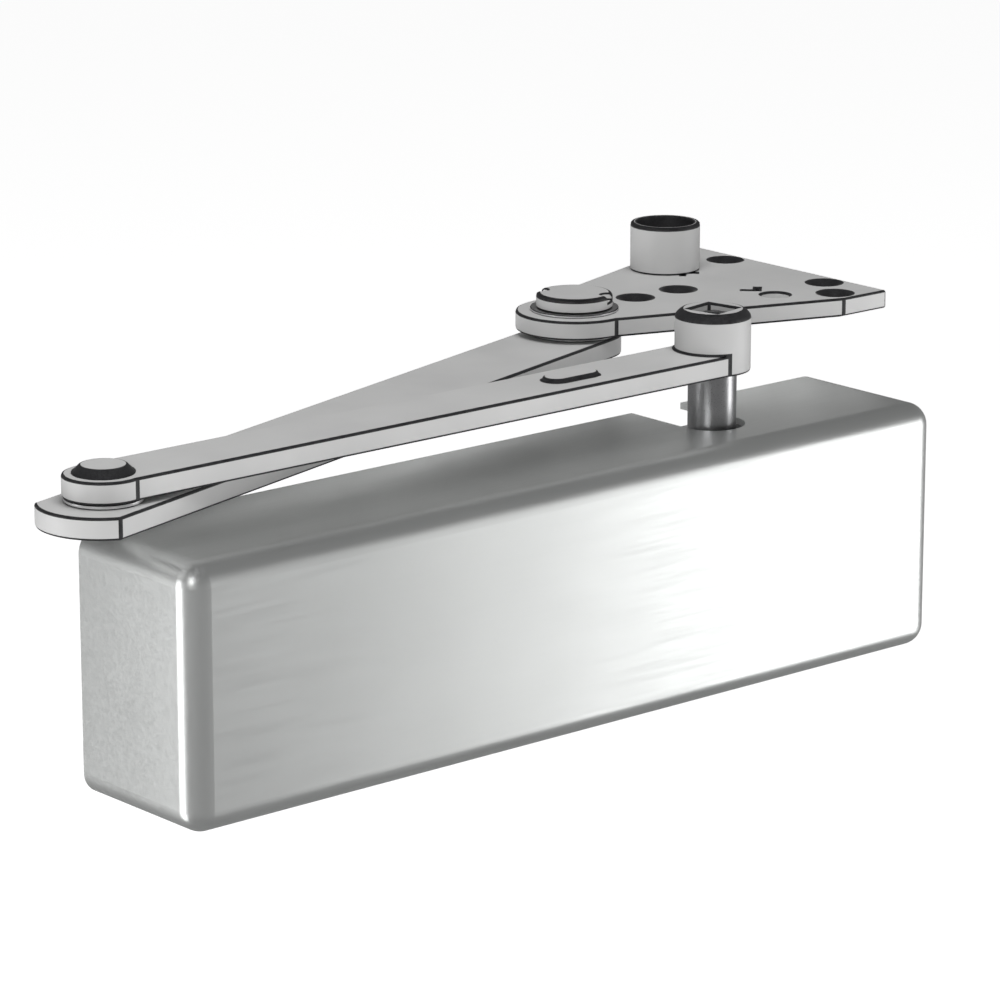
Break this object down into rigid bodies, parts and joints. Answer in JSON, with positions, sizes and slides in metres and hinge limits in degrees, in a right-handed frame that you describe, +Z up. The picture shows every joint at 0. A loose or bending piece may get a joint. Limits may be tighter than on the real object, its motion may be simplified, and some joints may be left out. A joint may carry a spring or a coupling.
{
  "type": "door closer",
  "caption": "Surface-mounted hydraulic door closer: box cover over a rack-and-pinion body, with a folding parallel arm and a triangular soffit shoe.",
  "frame": {"origin": "centre of the four door-screw holes, on the mounting plane", "axes": "+X along the cover, +Y into the door, +Z up the spindle"},
  "size_m": [0.3736, 0.1514, 0.1255],
  "materials": {
    "cover_metal": "satin",
    "body_iron": "painted as cast",
    "arm_paint": "satin paint over forged steel",
    "pin_steel": "satin paint over steel",
    "plain_steel": "machined",
    "spring_steel": "oiled",
    "bronze": "sintered bronze",
    "brass": "turned",
    "dial_plastic": "moulded",
    "seal_rubber": "moulded"
  },
  "bodies": {
    "closer": {"closer_body": "body_iron", "cover_clips": "plain_steel", "spring_end_cap": "plain_steel", "piston_end_cap": "plain_steel", "end_cap_seals": "seal_rubber", "power_dial": "dial_plastic", "main_spring": "spring_steel", "upper_bearing": "bronze", "lower_bearing": "bronze", "spindle_seal": "seal_rubber", "bearing_nut": "plain_steel", "lower_plug": "plain_steel", "filler_plug": "plain_steel"},
    "cover": {"cover": "cover_metal"},
    "power_screw": {"power_screw": "plain_steel"},
    "spring_seat": {"spring_seat": "plain_steel"},
    "piston": {"piston": "plain_steel", "check_valve_ball": "plain_steel", "check_valve_retainer": "bronze"},
    "main_arm": {"pinion_spindle": "plain_steel", "main_arm": "arm_paint", "arm_screw": "plain_steel", "arm_lock_washer": "plain_steel", "elbow_pin": "pin_steel", "elbow_washer": "plain_steel", "elbow_lower_washer": "plain_steel"},
    "forearm": {"forearm": "arm_paint", "elbow_bush": "bronze", "shoe_bush": "bronze"},
    "shoe": {"shoe_plate": "arm_paint", "shoe_stud": "pin_steel", "shoe_washer": "plain_steel", "shoe_lower_washer": "plain_steel", "pivot_cap_washer": "plain_steel", "pivot_cap": "pin_steel", "spacer": "arm_paint"},
    "sweep_valve": {"sweep_valve": "brass", "sweep_valve_seal": "seal_rubber"},
    "latch_valve": {"latch_valve": "brass", "latch_valve_seal": "seal_rubber"},
    "backcheck_valve": {"backcheck_valve": "brass", "backcheck_valve_seal": "seal_rubber"}
  },
  "joints": [
    {"name": "cover_removal", "type": "slide", "parent": "closer", "child": "cover", "axis": [0, -1, 0], "range_m": [0, 0.075]},
    {"name": "spindle_turn", "type": "hinge", "parent": "closer", "child": "main_arm", "pos_m": [0.08, -0.028, 0.06], "axis": [0, 0, 1], "range_deg": [0, 150]},
    {"name": "elbow", "type": "hinge", "parent": "main_arm", "child": "forearm", "pos_m": [-0.165, -0.028, 0.055], "axis": [0, 0, 1], "range_deg": [-8, 140]},
    {"name": "shoe_pivot", "type": "hinge", "parent": "forearm", "child": "shoe", "pos_m": [0.08608, 0.04685, 0.06], "axis": [0, 0, 1], "range_deg": [-20, 110]},
    {"name": "piston_slide", "type": "slide", "parent": "closer", "child": "piston", "axis": [-1, 0, 0], "range_m": [0, 0.0197], "deforming": ["main_spring"]},
    {"name": "power_turn", "type": "hinge", "parent": "closer", "child": "power_screw", "pos_m": [-0.12, -0.028, 0], "axis": [1, 0, 0], "range_deg": [0, 2310]},
    {"name": "seat_slide", "type": "slide", "parent": "closer", "child": "spring_seat", "axis": [1, 0, 0], "range_m": [0, 0.008], "deforming": ["main_spring"]},
    {"name": "sweep_turn", "type": "hinge", "parent": "closer", "child": "sweep_valve", "pos_m": [0.108, -0.045, 0.028], "axis": [0, -1, 0], "range_deg": [-180, 540]},
    {"name": "latch_turn", "type": "hinge", "parent": "closer", "child": "latch_valve", "pos_m": [0.121, -0.045, 0.028], "axis": [0, -1, 0], "range_deg": [-180, 540]},
    {"name": "backcheck_turn", "type": "hinge", "parent": "closer", "child": "backcheck_valve", "pos_m": [0.108, -0.045, -0.028], "axis": [0, -1, 0], "range_deg": [-180, 540]}
  ],
  "couplings": [
    {"joint": "piston_slide", "follows": "spindle_turn", "m_per_rad": 0.0075},
    {"joint": "power_turn", "follows": "seat_slide", "rad_per_m": 5026.5}
  ]
}
